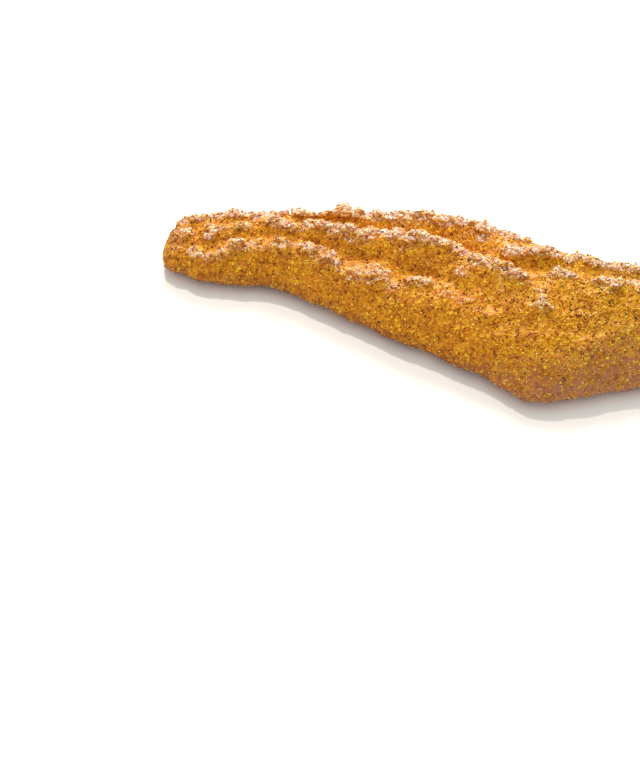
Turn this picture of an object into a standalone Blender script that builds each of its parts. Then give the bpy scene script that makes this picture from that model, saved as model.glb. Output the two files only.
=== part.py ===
"""A breaded, fried fish fillet, modelled as one closed solid.

It lies on its flat side, with its length along X: the narrow tail end is at -X, the broad head end
at +X, and +Y is its back. Three long ridges run from the tail. The front one fades into a broad
smooth face, the middle one ends in a flaky lip, and the back one carries on to the head end.

Places on the fillet are given as shares of three driving sizes: along its length from the tail,
across its width from the middle line, and up its thickness from the flat side.
"""

import math
import random

import bmesh
import bpy
import numpy as np
from mathutils import Matrix, Vector, noise
from mathutils.bvhtree import BVHTree

MM = 0.001

# Driving sizes in millimetres
LENGTH = 244.0
WIDTH = 94.0
THICKNESS = 28.0

# The rim, as seen from above: (along, across)
FRONT_RIM = (
    (0.00, -0.06), (0.05, -0.10), (0.10, -0.13), (0.16, -0.10), (0.22, -0.065), (0.31, -0.125),
    (0.39, -0.19), (0.49, -0.275), (0.54, -0.303), (0.60, -0.345), (0.65, -0.383), (0.70, -0.455),
    (0.735, -0.478), (0.785, -0.437), (0.85, -0.34), (0.91, -0.265), (0.96, -0.19), (1.00, -0.09),
)
BACK_RIM = (
    (0.00, 0.25), (0.03, 0.285), (0.11, 0.315), (0.18, 0.33), (0.24, 0.35), (0.32, 0.42),
    (0.40, 0.465), (0.47, 0.50), (0.57, 0.49), (0.61, 0.48), (0.66, 0.455), (0.715, 0.43),
    (0.785, 0.425), (0.83, 0.45), (0.87, 0.43), (0.93, 0.37), (0.97, 0.29), (1.00, 0.17),
)

# Heights that the top would have at the rims if they weren't rounded: (along, up)
FRONT_SHOULDER = (
    (0.00, 0.34), (0.10, 0.40), (0.30, 0.50), (0.55, 0.50), (0.70, 0.42), (0.85, 0.44), (1.00, 0.34),
)
BACK_SHOULDER = (
    (0.00, 0.34), (0.10, 0.44), (0.30, 0.62), (0.50, 0.66), (0.70, 0.60), (0.85, 0.52), (1.00, 0.36),
)

# Crests and grooves of the top, from front to back: (along, across, up)
FRONT_CREST = (
    (0.00, -0.01, 0.44), (0.03, -0.03, 0.47), (0.08, -0.015, 0.54), (0.135, 0.04, 0.61), (0.20, 0.08, 0.67),
    (0.29, 0.063, 0.70), (0.36, 0.023, 0.72), (0.455, -0.02, 0.75), (0.51, -0.065, 0.76),
    (0.605, -0.115, 0.75), (0.655, -0.157, 0.72), (0.70, -0.21, 0.69), (0.785, -0.19, 0.70),
    (0.85, -0.15, 0.68), (0.93, -0.09, 0.56), (1.00, -0.03, 0.40),
)
FRONT_GROOVE = (
    (0.00, 0.03, 0.42), (0.09, 0.05, 0.48), (0.15, 0.11, 0.53), (0.245, 0.128, 0.58), (0.325, 0.113, 0.60),
    (0.40, 0.093, 0.615), (0.455, 0.07, 0.63), (0.52, 0.037, 0.65), (0.56, -0.01, 0.68),
    (0.62, -0.068, 0.725), (0.66, -0.06, 0.78), (0.70, -0.03, 0.82), (0.785, 0.00, 0.83),
    (0.85, 0.03, 0.81), (0.93, 0.03, 0.68), (1.00, 0.03, 0.45),
)
MIDDLE_CREST = (
    (0.00, 0.07, 0.47), (0.02, 0.08, 0.50), (0.095, 0.135, 0.62), (0.21, 0.22, 0.755), (0.285, 0.21, 0.815),
    (0.35, 0.203, 0.88), (0.415, 0.216, 0.915), (0.46, 0.206, 0.95), (0.555, 0.17, 0.955), (0.61, 0.14, 0.955),
    (0.665, 0.118, 0.93), (0.72, 0.145, 0.915), (0.81, 0.15, 0.90), (0.875, 0.16, 0.86),
    (0.94, 0.13, 0.72), (1.00, 0.09, 0.48),
)
BACK_GROOVE = (
    (0.00, 0.11, 0.42), (0.10, 0.19, 0.53), (0.20, 0.245, 0.665), (0.285, 0.276, 0.65), (0.41, 0.283, 0.675),
    (0.50, 0.268, 0.67), (0.57, 0.222, 0.70), (0.635, 0.187, 0.74), (0.70, 0.20, 0.76), (0.75, 0.225, 0.76),
    (0.83, 0.262, 0.68), (0.90, 0.25, 0.62), (1.00, 0.12, 0.44),
)
BACK_CREST = (
    (0.00, 0.15, 0.43), (0.03, 0.20, 0.50), (0.11, 0.25, 0.61), (0.18, 0.285, 0.72), (0.24, 0.312, 0.79),
    (0.325, 0.352, 0.857), (0.40, 0.38, 0.893), (0.47, 0.405, 0.92), (0.57, 0.385, 0.91), (0.61, 0.39, 0.89),
    (0.665, 0.355, 0.85), (0.715, 0.335, 0.83), (0.785, 0.32, 0.786), (0.83, 0.345, 0.76),
    (0.87, 0.335, 0.72), (0.94, 0.27, 0.60), (1.00, 0.14, 0.44),
)

# The ridges are full, so that a groove between them is a crease: how full, from 0 to 1, and how deep
# in millimetres a groove has to be for that
FULLNESS = 0.75
FULL_GROOVE_DEPTH = 2.5

# Rounding, in millimetres
RIM_HEIGHT = 6.0
FRONT_RIM_REACH = 15.0
BACK_RIM_REACH = 9.0
UNDER_RIM_REACH = 10.0
TAIL_ROUNDING = 7.0
HEAD_ROUNDING = 15.0

# The middle ridge ends in a lip that curves down the front face: (across, along), then millimetres
LIP_LINE = ((-0.13, 0.735), (-0.06, 0.733), (0.00, 0.717), (0.06, 0.695), (0.10, 0.672))
LIP_HEIGHT = 2.4
LIP_RISE = (-2.5, 0.6)
LIP_FADE = (1.0, 30.0)
LIP_FRONT_EASE = (-3.0, 6.0)
LIP_BACK_EASE = (-1.0, 5.0)

# A bowed lobe, like a tongue, between the middle and the back ridge: its two ends, then millimetres
TONGUE_ENDS = ((0.640, 0.235), (0.745, 0.245))
TONGUE_BOW = 2.6
TONGUE_HALF_WIDTH = 6.5
TONGUE_HEIGHT = 3.2

# Relief of the crust, in millimetres: (size of the lumps, how far they stand out)
LUMPS = ((18.0, 1.5), (8.5, 1.3), (4.8, 0.9))
CREST_LUMPS = (5.4, 2.4)
CREST_REACH = 5.0
# The relief dies away towards the floor and towards either end
FLOOR_CALM = (1.5, 5.0)
END_CALM = (2.5, 14.0)
# How far up a face has to face for its relief to go straight up, so that no lump folds over another
UPRIGHT = (0.15, 0.5)
# The crests wander from side to side: (length of a bend, how far)
WANDER = ((24.0, 2.4), (9.0, 1.6))
# Where in the field of noise the crest lumps, the wander and the hollows below are read
CREST_NOISE = Vector((0.0, 0.0, 90.0))
WANDER_NOISE = 7.0
HOLLOW_NOISE = 40.0

# The underside arches a little over the floor, with hollows, and lies on three flat rests
ARCH = 0.9
HOLLOWS = (26.0, 1.6)
RESTS = ((0.115, 0.095), (0.745, -0.235), (0.83, 0.245))
REST_HALF_SIZES = (6.5, 8.0)
REST_FADE = 12.0

# The skin: faces along, and faces across each stretch of the ring from the front rim
FACES_ALONG = 88
FACES_TOP = (11, 4, 6, 3, 4, 5)
FACES_UNDER = 12
END_CROWDING = 0.78
RIM_CROWDING = 0.7
UNDER_CROWDING = 0.8

# Mounds of clotted batter fused to the crests: (crest, first, last, clusters), then millimetres
CLUSTERS = ((FRONT_CREST, 0.05, 0.62, 5), (MIDDLE_CREST, 0.06, 0.92, 9), (BACK_CREST, 0.05, 0.93, 8))
MOUNDS_IN_CLUSTER = 3
# Where in its own stretch of a crest or of the lip each cluster or mound may be, as shares of it
CLUSTER_STRAYS = (0.1, 0.9)
LIP_MOUND_STRAYS = (0.2, 0.8)
CLUSTER_SPREAD = (4.2, 1.7)
MOUND_RADIUS = (2.0, 3.2)
MOUND_LENGTH = (1.1, 1.7)
MOUND_BREADTH = (0.8, 1.2)
MOUND_FLATNESS = (0.5, 0.75)
MOUND_KNOCKS = (0.82, 1.2)
MOUND_TURN = 0.7
MOUND_TILT = 0.35
MOUND_SUNK = (0.25, 0.55)
# Large lumps that stand up behind the back crest: (along, radius)
HIGH_LUMPS = ((0.208, 2.8), (0.318, 3.4), (0.342, 2.6), (0.775, 3.2), (0.795, 2.4))
LIP_MOUNDS = 6
LIP_MOUND_RADIUS = (1.3, 2.1)
LIP_MOUND_OFFSET = (-0.5, 2.0)
SEED = 11

# Points nearer than this are one point where the sheet closes on itself, in millimetres
WELD = 0.01

CRUST_COLOUR = (0.50, 0.21, 0.047, 1.0)
CRUST_ROUGHNESS = 0.55


def clear_scene():
    """Remove every object that a new file opens with."""
    for thing in list(bpy.data.objects):
        bpy.data.objects.remove(thing)


def flow(points):
    """Return a smooth curve through (place, value) points that never swings past a neighbour."""
    place, value = np.array(points, dtype=float).T
    step = np.diff(place)
    slope = np.diff(value) / step
    lean = np.zeros(len(place))
    lean[0] = slope[0]
    lean[-1] = slope[-1]
    for i in range(1, len(place) - 1):
        before, after = slope[i - 1], slope[i]
        if before * after > 0:
            lean[i] = 2 * before * after / (before + after)

    def at(where):
        i = int(np.clip(np.searchsorted(place, where) - 1, 0, len(step) - 1))
        t = min(max((where - place[i]) / step[i], 0.0), 1.0)
        rise = t * t * (3 - 2 * t)
        from_start = t * (1 - t) ** 2 * step[i] * lean[i]
        from_end = t * t * (1 - t) * step[i] * lean[i + 1]
        return float(value[i] + (value[i + 1] - value[i]) * rise + from_start - from_end)

    return at


def across_of(line):
    """Return the across curve of a crest, groove or rim, in millimetres."""
    return flow([(point[0], point[1] * WIDTH) for point in line])


def up_of(line):
    """Return the up curve of a crest, groove or shoulder, in millimetres."""
    return flow([(point[0], point[-1] * THICKNESS) for point in line])


LINES = (FRONT_CREST, FRONT_GROOVE, MIDDLE_CREST, BACK_GROOVE, BACK_CREST)
LINE_ACROSS = [across_of(line) for line in LINES]
LINE_UP = [up_of(line) for line in LINES]
CREST_ACROSS = LINE_ACROSS[::2]
FRONT_RIM_ACROSS = across_of(FRONT_RIM)
BACK_RIM_ACROSS = across_of(BACK_RIM)
FRONT_SHOULDER_UP = up_of(FRONT_SHOULDER)
BACK_SHOULDER_UP = up_of(BACK_SHOULDER)
LIP_ALONG = flow([(across * WIDTH, along * LENGTH) for across, along in LIP_LINE])
LIP_ENDS = (LIP_LINE[0][0] * WIDTH, LIP_LINE[-1][0] * WIDTH)


def quarter_round(distance, reach):
    """Rise from 0 at the edge to 1 at the reach, as a quarter of an ellipse does."""
    left = 1 - min(max(distance / reach, 0.0), 1.0)
    return math.sqrt(1 - left * left)


def fade(value, start, end):
    """Ease from 0 at the start to 1 at the end."""
    t = min(max((value - start) / (end - start), 0.0), 1.0)
    return t * t * (3 - 2 * t)


def lip(x, y):
    """Height that the end of the middle ridge adds to the front face, in millimetres."""
    inside = LIP_ALONG(y) - x
    stands = fade(inside, *LIP_RISE) * (1 - fade(inside, *LIP_FADE))
    lowest, highest = LIP_ENDS
    between = fade(y - lowest, *LIP_FRONT_EASE) * (1 - fade(y - highest, *LIP_BACK_EASE))
    return LIP_HEIGHT * stands * between


def tongue(x, y):
    """Height that the tongue-shaped lobe adds, in millimetres."""
    start, end = (Vector((along * LENGTH, across * WIDTH)) for along, across in TONGUE_ENDS)
    run = end - start
    share = min(max((Vector((x, y)) - start).dot(run) / run.length_squared, 0.0), 1.0)
    bow = TONGUE_BOW * math.sin(math.pi * share)
    nearest = start + run * share + Vector((0.0, bow))
    distance = (Vector((x, y)) - nearest).length / TONGUE_HALF_WIDTH
    return TONGUE_HEIGHT * max(0.0, 1 - distance * distance)


def lump_noise(point, size):
    """Smooth noise from -1 to 1 whose lumps have the given size, at a point in millimetres."""
    return noise.noise(Vector(point) / size)


def crest_share(along, y):
    """Tell how near a point is to a crest, from 0 to 1."""
    nearest = min(abs(y - across(along)) for across in CREST_ACROSS)
    return math.exp(-(nearest / CREST_REACH) ** 2)


def off_rests(x, y):
    """Tell how far a point of the underside is from the flat rests: 0 on one, 1 well away."""
    half_along, half_across = REST_HALF_SIZES
    outside = min(
        max(abs(x - along * LENGTH) - half_along, abs(y - across * WIDTH) - half_across)
        for along, across in RESTS
    )
    return fade(outside, 0.0, REST_FADE)


def under_height(x, y, to_rim):
    """Height of the underside above the floor, in millimetres."""
    size, depth = HOLLOWS
    hollow = depth * max(0.0, lump_noise((x, y, HOLLOW_NOISE), size))
    lift = RIM_HEIGHT * (1 - quarter_round(to_rim, UNDER_RIM_REACH))
    return lift + (ARCH + hollow) * off_rests(x, y) * (1 - lift / RIM_HEIGHT)


def ridge_fullness(heights, stretch, share):
    """Height that a stretch between a crest and a groove gains by being full, in millimetres."""
    if stretch in (0, len(FACES_TOP) - 1):
        return 0.0
    at_groove = stretch + stretch % 2
    groove = heights[at_groove]
    depth = min(heights[at_groove - 1], heights[at_groove + 1]) - groove
    from_groove = 1 - share if stretch % 2 else share
    crest = heights[stretch] if stretch % 2 else heights[stretch + 1]
    gain = quarter_round(from_groove, 1.0) - fade(from_groove, 0.0, 1.0)
    return FULLNESS * fade(depth, 0.0, FULL_GROOVE_DEPTH) * gain * (crest - groove)


def under_place(along, share):
    """Return the across place and height at a share of the way from the back rim to the front rim."""
    rim_front = FRONT_RIM_ACROSS(along)
    rim_back = BACK_RIM_ACROSS(along)
    rounded = (1 - math.cos(math.pi * share)) / 2
    y = rim_back + (rim_front - rim_back) * (share + UNDER_CROWDING * (rounded - share))
    return y, under_height(along * LENGTH, y, min(y - rim_front, rim_back - y))


def top_place(along, steps):
    """Return the across place and height of the top, a number of faces from the front rim."""
    rim_front = FRONT_RIM_ACROSS(along)
    rim_back = BACK_RIM_ACROSS(along)
    x = along * LENGTH
    wander = sum(far * lump_noise((x, 0.0, WANDER_NOISE * far), bend) for bend, far in WANDER)
    knots = [rim_front] + [across(along) + wander for across in LINE_ACROSS] + [rim_back]
    heights = [FRONT_SHOULDER_UP(along)] + [up(along) for up in LINE_UP] + [BACK_SHOULDER_UP(along)]
    last = len(FACES_TOP) - 1
    stretch = 0
    while steps > FACES_TOP[stretch] and stretch < last:
        steps -= FACES_TOP[stretch]
        stretch += 1
    share = steps / FACES_TOP[stretch]
    if stretch == 0:
        share += RIM_CROWDING * (1 - math.cos(share * math.pi / 2) - share)
    if stretch == last:
        share += RIM_CROWDING * (math.sin(share * math.pi / 2) - share)
    y = knots[stretch] + (knots[stretch + 1] - knots[stretch]) * share
    top = flow(list(zip(knots, heights)))(y) + ridge_fullness(heights, stretch, share)
    top += lip(x, y) + tongue(x, y)
    rounding = min(
        quarter_round(y - rim_front, FRONT_RIM_REACH),
        quarter_round(rim_back - y, BACK_RIM_REACH),
    )
    return y, RIM_HEIGHT + (top - RIM_HEIGHT) * rounding


def skin_point(run, turn):
    """Return the point of the skin at a share of the run from tail to head and of the turn round."""
    along = run - END_CROWDING * math.sin(2 * math.pi * run) / (2 * math.pi)
    steps = turn * (sum(FACES_TOP) + FACES_UNDER)
    if steps > sum(FACES_TOP):
        y, z = under_place(along, (steps - sum(FACES_TOP)) / FACES_UNDER)
    else:
        y, z = top_place(along, steps)
    x = along * LENGTH
    size = min(quarter_round(x, TAIL_ROUNDING), quarter_round(LENGTH - x, HEAD_ROUNDING))
    middle = (FRONT_RIM_ACROSS(along) + BACK_RIM_ACROSS(along)) / 2
    return Vector((x, middle + (y - middle) * size, RIM_HEIGHT + (z - RIM_HEIGHT) * size))


def add_relief(bm):
    """Push the rims in and out and the top up and down, most of all on the crests."""
    bm.normal_update()
    crest_size, crest_height = CREST_LUMPS
    moves = []
    for vert in bm.verts:
        place = vert.co.copy()
        calm = fade(place.z, *FLOOR_CALM) * fade(min(place.x, LENGTH - place.x), *END_CALM)
        move = sum(height * lump_noise(place, size) for size, height in LUMPS)
        if vert.normal.z > 0:
            on_crest = crest_share(min(max(place.x / LENGTH, 0.0), 1.0), place.y)
            move += crest_height * on_crest * lump_noise(place + CREST_NOISE, crest_size)
        heading = vert.normal.lerp(Vector((0.0, 0.0, 1.0)), fade(vert.normal.z, *UPRIGHT))
        moves.append(heading * move * calm)
    for vert, move in zip(bm.verts, moves):
        vert.co += move


def skin():
    """Wrap a grid sheet round the fillet, weld its seam and its two ends, and add the relief."""
    around = sum(FACES_TOP) + FACES_UNDER
    bm = bmesh.new()
    bmesh.ops.create_grid(bm, x_segments=FACES_ALONG, y_segments=around, size=0.5)
    for vert in bm.verts:
        vert.co = skin_point(vert.co.x + 0.5, min(max(vert.co.y + 0.5, 0.0), 1.0))
    bmesh.ops.remove_doubles(bm, verts=bm.verts, dist=WELD)
    bmesh.ops.recalc_face_normals(bm, faces=bm.faces)
    add_relief(bm)
    bmesh.ops.scale(bm, vec=Vector((MM, MM, MM)), verts=bm.verts)
    bmesh.ops.triangulate(bm, faces=bm.faces)
    return bm


def mound(name, top, radius, dice):
    """Make one mound of batter below a top point: a ball of 20 faces, knocked, flattened and turned."""
    bm = bmesh.new()
    bmesh.ops.create_icosphere(bm, subdivisions=1, radius=radius * MM)
    for vert in bm.verts:
        vert.co *= dice.uniform(*MOUND_KNOCKS)
    flatness = dice.uniform(*MOUND_FLATNESS)
    squash = Matrix.Diagonal((dice.uniform(*MOUND_LENGTH), dice.uniform(*MOUND_BREADTH), flatness, 1.0))
    turn = Matrix.Rotation(dice.uniform(-MOUND_TURN, MOUND_TURN), 4, "Z")
    tilt = Matrix.Rotation(dice.uniform(-MOUND_TILT, MOUND_TILT), 4, "X")
    centre = top - Vector((0.0, 0.0, radius * flatness * dice.uniform(*MOUND_SUNK)))
    place = Matrix.Translation(centre * MM)
    bmesh.ops.transform(bm, matrix=place @ turn @ tilt @ squash, verts=bm.verts)
    mesh = bpy.data.meshes.new(name)
    bm.to_mesh(mesh)
    bm.free()
    return bpy.data.objects.new(name, mesh)


def mound_places(dice):
    """Draw the mounds' places (x, y) and radii, in millimetres, on the crests and along the lip."""
    places = []
    for line, first, last, clusters in CLUSTERS:
        across = across_of(line)
        for i in range(clusters):
            middle = first + (last - first) * (i + dice.uniform(*CLUSTER_STRAYS)) / clusters
            for _ in range(MOUNDS_IN_CLUSTER):
                x = middle * LENGTH + dice.gauss(0, CLUSTER_SPREAD[0])
                y = across(x / LENGTH) + dice.gauss(0, CLUSTER_SPREAD[1])
                places.append((x, y, dice.uniform(*MOUND_RADIUS)))
    back = across_of(BACK_CREST)
    for along, radius in HIGH_LUMPS:
        places.append((along * LENGTH, back(along), radius))
    lowest, highest = LIP_ENDS
    for i in range(LIP_MOUNDS):
        y = lowest + (highest - lowest) * (i + dice.uniform(*LIP_MOUND_STRAYS)) / LIP_MOUNDS
        x = LIP_ALONG(y) - dice.uniform(*LIP_MOUND_OFFSET)
        places.append((x, y, dice.uniform(*LIP_MOUND_RADIUS)))
    return places


def fused_with_mounds(fillet, dice):
    """Join the mounds to the fillet by one Boolean union on their collection."""
    bm = bmesh.new()
    bm.from_mesh(fillet.data)
    tree = BVHTree.FromBMesh(bm)
    bm.free()

    mounds = bpy.data.collections.new("mounds")
    bpy.context.scene.collection.children.link(mounds)
    straight_down = Vector((0.0, 0.0, -1.0))
    for i, (x, y, radius) in enumerate(mound_places(dice)):
        top = tree.ray_cast(Vector((x, y, 2 * THICKNESS)) * MM, straight_down)[0] / MM
        mounds.objects.link(mound(f"mound_{i}", top, radius, dice))

    union = fillet.modifiers.new("mounds", "BOOLEAN")
    union.operation = "UNION"
    union.operand_type = "COLLECTION"
    union.collection = mounds
    union.solver = "EXACT"
    evaluated = fillet.evaluated_get(bpy.context.evaluated_depsgraph_get())
    fused = bpy.data.meshes.new_from_object(evaluated)
    fillet.modifiers.clear()
    fillet.data = fused
    for thing in list(mounds.objects):
        bpy.data.objects.remove(thing)
    bpy.data.collections.remove(mounds)


def keep_largest_shell(bm):
    """Delete every loose scrap and sealed hollow, so that one shell is left."""
    unseen = set(bm.verts)
    shells = []
    while unseen:
        front = [unseen.pop()]
        shell = set(front)
        while front:
            vert = front.pop()
            for edge in vert.link_edges:
                other = edge.other_vert(vert)
                if other in unseen:
                    unseen.remove(other)
                    shell.add(other)
                    front.append(other)
        shells.append(shell)
    shells.sort(key=len)
    for shell in shells[:-1]:
        bmesh.ops.delete(bm, geom=list(shell), context="VERTS")


def stand_on_origin(bm):
    """Move the mesh so that the middle of its footprint is at the origin, and its lowest point at 0."""
    lowest = Vector([min(vert.co[i] for vert in bm.verts) for i in range(3)])
    highest = Vector([max(vert.co[i] for vert in bm.verts) for i in range(3)])
    middle = (lowest + highest) / 2
    bmesh.ops.translate(bm, vec=Vector((-middle.x, -middle.y, -lowest.z)), verts=bm.verts)


def crust_material():
    """Golden fried cornmeal crust."""
    material = bpy.data.materials.new("fried_crust")
    material.use_nodes = True
    shader = material.node_tree.nodes["Principled BSDF"]
    shader.inputs["Base Color"].default_value = CRUST_COLOUR
    shader.inputs["Roughness"].default_value = CRUST_ROUGHNESS
    shader.inputs["Metallic"].default_value = 0.0
    return material


def build_fillet():
    """Make the fillet from its skin and its mounds."""
    dice = random.Random(SEED)
    bm = skin()
    mesh = bpy.data.meshes.new("fillet")
    bm.to_mesh(mesh)
    bm.free()
    fillet = bpy.data.objects.new("fillet", mesh)
    bpy.context.scene.collection.objects.link(fillet)
    fused_with_mounds(fillet, dice)

    bm = bmesh.new()
    bm.from_mesh(fillet.data)
    keep_largest_shell(bm)
    stand_on_origin(bm)
    bmesh.ops.triangulate(bm, faces=bm.faces)
    bm.to_mesh(fillet.data)
    bm.free()
    fillet.data.materials.clear()
    fillet.data.materials.append(crust_material())
    return fillet


clear_scene()
build_fillet()
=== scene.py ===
# %% [markdown]
# # A breaded, fried fish fillet
# The real thing is a slab of white fish, rolled in wet batter and seasoned cornmeal, and deep-fried.
# What the eye reads is not one surface but thousands of small ones: a lumpy golden crust, hard oily
# grains of meal stuck in it, flakes and crumbs that stand pale along the ridges, and a few dark
# specks of pepper. So this lesson models it the way it was made: first the crust, then the grains
# in layers, each kind as its own piece.
#
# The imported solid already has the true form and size. It is loaded first, and everything that
# follows is laid on it.

# %% Load the solid and note its box
import math

import bmesh
import bpy
import numpy as np
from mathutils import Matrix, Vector, noise


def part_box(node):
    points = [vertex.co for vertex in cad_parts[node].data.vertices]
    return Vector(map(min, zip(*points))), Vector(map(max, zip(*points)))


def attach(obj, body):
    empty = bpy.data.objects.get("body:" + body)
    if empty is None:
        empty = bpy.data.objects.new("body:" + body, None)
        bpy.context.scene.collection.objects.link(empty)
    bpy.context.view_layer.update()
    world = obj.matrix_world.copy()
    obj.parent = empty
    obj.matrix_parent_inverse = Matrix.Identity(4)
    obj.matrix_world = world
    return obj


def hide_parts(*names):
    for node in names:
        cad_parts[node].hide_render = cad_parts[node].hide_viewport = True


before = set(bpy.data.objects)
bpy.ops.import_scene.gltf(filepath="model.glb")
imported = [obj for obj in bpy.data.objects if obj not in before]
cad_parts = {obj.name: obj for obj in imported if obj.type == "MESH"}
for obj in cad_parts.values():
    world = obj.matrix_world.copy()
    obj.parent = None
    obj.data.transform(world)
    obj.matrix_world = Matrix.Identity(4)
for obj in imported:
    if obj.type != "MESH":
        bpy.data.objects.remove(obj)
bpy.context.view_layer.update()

MM = 0.001
low, high = (Vector(corner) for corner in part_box("fillet"))
middle = (low + high) / 2
print("solid:", [round(side / MM, 1) for side in high - low], "mm")

# %% [markdown]
# ## The camera
# The photograph looks down on the food at about 45 degrees, a little from the head end, and the
# picture cuts the head end off. A camera is easiest to place backwards: pick the point that it
# looks at, step back along the line of sight, and let `to_track_quat` turn it. The focal length
# comes from the width of the view in pixels, because that is what was matched to the photograph.

# %% Camera
PICTURE_HEIGHT_PX = 762
FOCAL_PX = 1645
SENSOR_MM = 36
VIEW_AZIMUTH = math.radians(16)
VIEW_ELEVATION = math.radians(45)
VIEW_DISTANCE = 0.70
LOOK_AT_OFFSET = Vector((-0.031, -0.0538, 0.0))


def put_in_scene(name, data):
    """Make an object of some data, and put it in the scene."""
    thing = bpy.data.objects.new(name, data)
    bpy.context.scene.collection.objects.link(thing)
    return thing


to_camera = Vector((
    math.sin(VIEW_AZIMUTH) * math.cos(VIEW_ELEVATION),
    -math.cos(VIEW_AZIMUTH) * math.cos(VIEW_ELEVATION),
    math.sin(VIEW_ELEVATION),
))
look_at = Vector((middle.x, middle.y, 0.0)) + LOOK_AT_OFFSET
camera_data = bpy.data.cameras.new("camera")
camera_data.sensor_width = SENSOR_MM
camera_data.lens = FOCAL_PX / PICTURE_HEIGHT_PX * SENSOR_MM
camera = put_in_scene("camera", camera_data)
camera.location = look_at + to_camera * VIEW_DISTANCE
camera.rotation_euler = to_camera.to_track_quat("Z", "Y").to_euler()
bpy.context.scene.camera = camera
print("lens:", round(camera_data.lens, 1), "mm")

# %% [markdown]
# ## Colours and nodes
# Colours are picked as hex values, the way a picker shows them, but the shader wants linear light.
# One function turns the one into the other. Others set a node's inputs, add a node and start a
# material, so that a material reads as a list of its steps.

# %% Helpers for materials
def paint(hex_colour):
    """Turn an sRGB hex colour into linear RGBA, by the sRGB curve."""
    parts = [int(hex_colour[i:i + 2], 16) / 255 for i in (1, 3, 5)]
    linear = [part / 12.92 if part <= 0.04045 else ((part + 0.055) / 1.055) ** 2.4 for part in parts]
    return (*linear, 1.0)


def feed(tree, node, inputs):
    """Set a node's inputs. Each is a value, or the socket that feeds it."""
    for name, value in inputs.items():
        if isinstance(value, bpy.types.NodeSocket):
            tree.links.new(value, node.inputs[name])
        else:
            node.inputs[name].default_value = value


def add_node(tree, kind, settings=None, inputs=None):
    """Add a node with its settings and its inputs."""
    node = tree.nodes.new(kind)
    for name, value in (settings or {}).items():
        setattr(node, name, value)
    feed(tree, node, inputs or {})
    return node


def set_ramp(node, *stops):
    """Set a colour ramp's stops, each a place and a hex colour."""
    ramp = node.color_ramp
    while len(ramp.elements) < len(stops):
        ramp.elements.new(0.5)
    for element, (place, colour) in zip(ramp.elements, stops):
        element.position = place
        element.color = paint(colour)


def new_material(name):
    """Start a material, and return it with its node tree and its Principled shader."""
    material = bpy.data.materials.new(name)
    material.use_nodes = True
    return material, material.node_tree, material.node_tree.nodes["Principled BSDF"]


print("middle grey in linear light:", round(paint("#808080")[0], 3))

# %% [markdown]
# ## The floor
# The fillet lies on a plain matt white floor, which throws a soft light back up at its lower
# edge. A grid of one face is enough.

# %% Floor
FLOOR_SIZE = 6.0
FLOOR_COLOUR = "#F4F2EE"
FLOOR_ROUGHNESS = 0.7

floor_mesh = bmesh.new()
bmesh.ops.create_grid(floor_mesh, x_segments=1, y_segments=1, size=FLOOR_SIZE / 2)
floor_data = bpy.data.meshes.new("floor")
floor_mesh.to_mesh(floor_data)
floor_mesh.free()
floor = put_in_scene("floor", floor_data)
# Matt white paint: it shows a soft shadow and no reflection.
floor_material, tree, shader = new_material("matt_white_studio_floor")
feed(tree, shader, {"Base Color": paint(FLOOR_COLOUR), "Roughness": FLOOR_ROUGHNESS})
floor_data.materials.append(floor_material)
print("floor:", FLOOR_SIZE, "m wide")

# %% [markdown]
# ## The light
# The photograph is bright and airy, and its light comes from behind the food. That is what makes
# fried food look crisp, because it runs along the ridges and glints on every oily grain. Here a
# wide soft lamp stands behind and above, a smaller and harder one gives the grains their sparkle,
# and a white world fills the side towards the camera.

# %% Lamps and world
WORLD_STRENGTH = 0.82
WORLD_COLOUR = "#FFFFFF"
LAMPS = (
    # name, place, size, watts, colour
    ("window", (-0.20, 0.86, 0.44), 0.60, 15.5, "#FFFFFF"),
    ("sparkle", (-0.45, 0.60, 0.90), 0.05, 5.5, "#FFF6E6"),
)

for name, place, size, watts, colour in LAMPS:
    lamp_data = bpy.data.lights.new(name, "AREA")
    lamp_data.shape = "DISK"
    lamp_data.size = size
    lamp_data.energy = watts
    lamp_data.color = paint(colour)[:3]
    lamp = put_in_scene(name, lamp_data)
    lamp.location = place
    lamp.rotation_euler = (Vector(place) - middle).to_track_quat("Z", "Y").to_euler()

world = bpy.data.worlds.new("white_studio")
world.use_nodes = True
feed(world.node_tree, world.node_tree.nodes["Background"], {
    "Color": paint(WORLD_COLOUR), "Strength": WORLD_STRENGTH,
})
bpy.context.scene.world = world
bpy.context.scene.view_settings.view_transform = "Standard"
print("lamps:", len(LAMPS))

# %% [markdown]
# ## The crust
# Batter sets as one skin over the fish. The solid has its form, but in flat facets about 2 mm
# wide. A copy is welded, remeshed into even cells much smaller than a facet, and smoothed until
# the facets melt away. A voxel remesh suits food, because it doesn't care how the ridges and
# crags were put together.

# %% Remesh and smooth a copy of the solid
WELD_GAP = 0.002 * MM
CRUST_CELL = 0.71 * MM
SMOOTHING_FACTOR = 0.5
SMOOTHING_ROUNDS = 6

crust_mesh = bmesh.new()
crust_mesh.from_mesh(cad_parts["fillet"].data)
bmesh.ops.remove_doubles(crust_mesh, verts=crust_mesh.verts, dist=WELD_GAP)
crust_data = bpy.data.meshes.new("fried_crust")
crust_mesh.to_mesh(crust_data)
crust_mesh.free()
crust = put_in_scene("fried_crust", crust_data)

remesh = crust.modifiers.new("even_cells", "REMESH")
remesh.mode = "VOXEL"
remesh.voxel_size = CRUST_CELL
smooth = crust.modifiers.new("melt_facets", "SMOOTH")
smooth.factor = SMOOTHING_FACTOR
smooth.iterations = SMOOTHING_ROUNDS
evaluated = crust.evaluated_get(bpy.context.evaluated_depsgraph_get())
crust.data = bpy.data.meshes.new_from_object(evaluated)
crust.modifiers.clear()
print("crust cells:", len(crust.data.polygons))

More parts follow.
